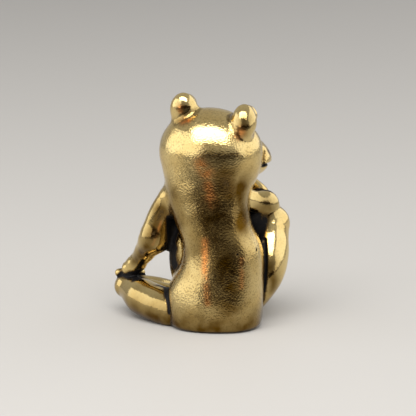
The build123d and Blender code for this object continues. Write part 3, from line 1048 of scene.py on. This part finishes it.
# %% [markdown]
# ## Casting every piece
#
# All formulas are in place, so every piece can be cast in turn. Each new mesh takes the place of the plain
# solid of the same name, and all of them ride on the one body, because nothing on the frog moves.

# %% Cast every piece
for piece in sorted({form.piece for form in forms}):
    shown = cast_piece(piece)
    shown.data.materials.append(antique_brass)
    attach(shown, "root")
    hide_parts(piece)
    node_low, node_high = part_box(piece)
    print(piece, "faces", len(shown.data.polygons), "node box", in_mm((*node_low, *node_high)))

# %% [markdown]
# ## Camera
#
# The picture is taken from behind and a little above, with a long lens. The camera could be given an aim
# with a Track To constraint; here its three axes are worked out and written straight into its matrix.

# %% Camera
VIEW_TURN, VIEW_RISE, VIEW_DISTANCE = radians(186.0), radians(12.0), 350.0
VIEW_RIGHT, VIEW_UP = -1.44, 18.4
LENS, CLIP_START = 189.3, 0.01


def facing(turn, rise):
    """The direction with this turn about the frog, from its front, and this rise above the ground."""
    return np.array([sin(turn) * cos(rise), -cos(turn) * cos(rise), sin(rise)])


back = facing(VIEW_TURN, VIEW_RISE)
right = unit(np.cross((0, 0, 1), back))
up = np.cross(back, right)
stand = (VIEW_RIGHT * right + VIEW_UP * up + VIEW_DISTANCE * back) * MM
camera_data = bpy.data.cameras.new("camera")
camera_data.lens, camera_data.clip_start = LENS, CLIP_START
camera = bpy.data.objects.new("camera", camera_data)
camera.matrix_world = Matrix.Translation(stand) @ Matrix(np.stack([right, up, back], -1)).to_4x4()
bpy.context.scene.collection.objects.link(camera)
bpy.context.scene.camera = camera
print("camera stands at, in mm:", in_mm(stand))

# %% [markdown]
# ## Floor
#
# The frog stands on a pale floor, a flat disc. Polished metal shows its surroundings, and a floor that is
# pale all round would leave the frog's back without contrast. So the floor fades to a dark table on the
# camera's side, outside the picture.

# %% Floor
FLOOR_RADIUS, FLOOR_CORNERS, FLOOR_DROP, FLOOR_ROUGHNESS = 1.5, 128, 1e-5, 0.6
FLOOR_PALE, FLOOR_DARK = (0.48, 0.47, 0.455), (0.06, 0.055, 0.05)
FLOOR_FADE = (0.058, 0.12)


def pale_floor():
    """A flat disc a hair below the seat; its colour eases from pale to dark along y."""
    ring = np.linspace(0, tau, FLOOR_CORNERS, endpoint=False)
    height = np.full(FLOOR_CORNERS, -FLOOR_DROP)
    points = np.stack([np.cos(ring) * FLOOR_RADIUS, np.sin(ring) * FLOOR_RADIUS, height], -1)
    mesh = bpy.data.meshes.new("floor")
    mesh.from_pydata(points.tolist(), [], [list(range(FLOOR_CORNERS))])
    material = bpy.data.materials.new("pale_floor")
    wires = Wiring(material)
    place = wires.add("ShaderNodeTexCoord").outputs["Object"]
    along_y = wires.add("ShaderNodeSeparateXYZ", Vector=place).outputs["Y"]
    colour = wires.mix(wires.remap(along_y, *FLOOR_FADE), FLOOR_PALE, FLOOR_DARK)
    shader = wires.nodes["Principled BSDF"]
    wires.plug(colour, shader.inputs["Base Color"])
    shader.inputs["Roughness"].default_value = FLOOR_ROUGHNESS
    mesh.materials.append(material)
    floor = bpy.data.objects.new("floor", mesh)
    bpy.context.scene.collection.objects.link(floor)


pale_floor()
print("floor radius in m:", FLOOR_RADIUS)

# %% [markdown]
# ## Lights
#
# Three soft boxes stand round the frog: one above, whose reflection is the white patch on the skull, and a
# wide one at either side, which draw the pale edges. Small lamps would light it as well, but metal would
# show them as hard dots.

# %% Lights
# Name, turn and rise in degrees, then distance, width and height in metres, and brightness
LIGHTS = (
    ("top_light", 176, 60, 0.42, 0.52, 0.28, 5.0),
    ("left_light", 115, 20, 0.50, 0.90, 0.40, 1.25),
    ("right_light", 285, 26, 0.50, 1.10, 0.42, 0.95),
)
LIGHT_COLOUR, LIGHT_AIM = (1.0, 0.98, 0.95), Vector((0, 0, 0.02))


def soft_light(name, turn, rise, distance, width, height, brightness):
    """A flat soft light that faces the frog: watts are brightness times pi times its area."""
    data = bpy.data.lights.new(name, "AREA")
    data.shape = "RECTANGLE"
    data.size, data.size_y = width, height
    data.energy = brightness * tau / 2 * width * height
    data.color = LIGHT_COLOUR
    lamp = bpy.data.objects.new(name, data)
    towards = Vector(facing(radians(turn), radians(rise)))
    lamp.location = towards * distance + LIGHT_AIM
    lamp.rotation_euler = towards.to_track_quat("Z", "Y").to_euler()
    bpy.context.scene.collection.objects.link(lamp)
    print(name, "watts", round(data.energy, 2))


for light in LIGHTS:
    soft_light(*light)

# %% [markdown]
# ## Room
#
# The room is an even grey with a low dark patch behind the camera, as a dim studio has, because polished
# metal gets its contrast from what it mirrors. A photographed surrounding would do this too, but this one
# needs no image: the colour follows how far out of the patch a direction points.

# %% Room
DARK_TURN = radians(203)
DARK_WIDTH, DARK_HEIGHT = sin(radians(52)), sin(radians(13))
DARK_START, DARK_FULL = -0.05, 0.10
ROOM_GREY = (0.48, 0.47, 0.455)
# Share of the way out of the dark patch, and the colour there
ROOM_STOPS = (
    (0.0, (0.030, 0.022, 0.015)),
    (0.65, (0.035, 0.026, 0.018)),
    (0.85, (0.16, 0.10, 0.05)),
    (1.0, ROOM_GREY),
)


def room():
    """Grey, but on the camera's side a ramp by the length of (sideways / width, upwards / height)."""
    world = bpy.data.worlds.new("room")
    bpy.context.scene.world = world
    wires = Wiring(world)
    place = wires.add("ShaderNodeTexCoord").outputs["Generated"]

    def along(direction):
        dot = wires.add("ShaderNodeVectorMath", {"operation": "DOT_PRODUCT"})
        wires.plug(place, dot.inputs[0])
        wires.plug(direction, dot.inputs[1])
        return dot.outputs["Value"]

    sideways = along((cos(DARK_TURN) / DARK_WIDTH, sin(DARK_TURN) / DARK_WIDTH, 0))
    upwards = along((0, 0, 1 / DARK_HEIGHT))
    out = wires.add("ShaderNodeCombineXYZ", X=sideways, Y=upwards).outputs["Vector"]
    length = wires.add("ShaderNodeVectorMath", {"operation": "LENGTH"}, Vector=out).outputs["Value"]
    ramp = wires.add("ShaderNodeValToRGB", Fac=length)
    ramp.color_ramp.interpolation = "EASE"
    for share, _ in ROOM_STOPS[1:-1]:
        ramp.color_ramp.elements.new(share)
    for element, (_, colour) in zip(ramp.color_ramp.elements, ROOM_STOPS):
        element.color = (*colour, 1)
    before = wires.remap(along((sin(DARK_TURN), -cos(DARK_TURN), 0)), DARK_START, DARK_FULL, curve="LINEAR")
    colour = wires.mix(before, ROOM_GREY, ramp.outputs["Color"])
    wires.plug(colour, wires.nodes["Background"].inputs["Color"])


room()
bpy.context.scene.view_settings.view_transform = "Standard"
print("room nodes:", len(bpy.context.scene.world.node_tree.nodes))

# %% [markdown]
# ## Sizes
#
# Dressing the frog must not change its size, so the box of each solid is printed as its piece is cast.
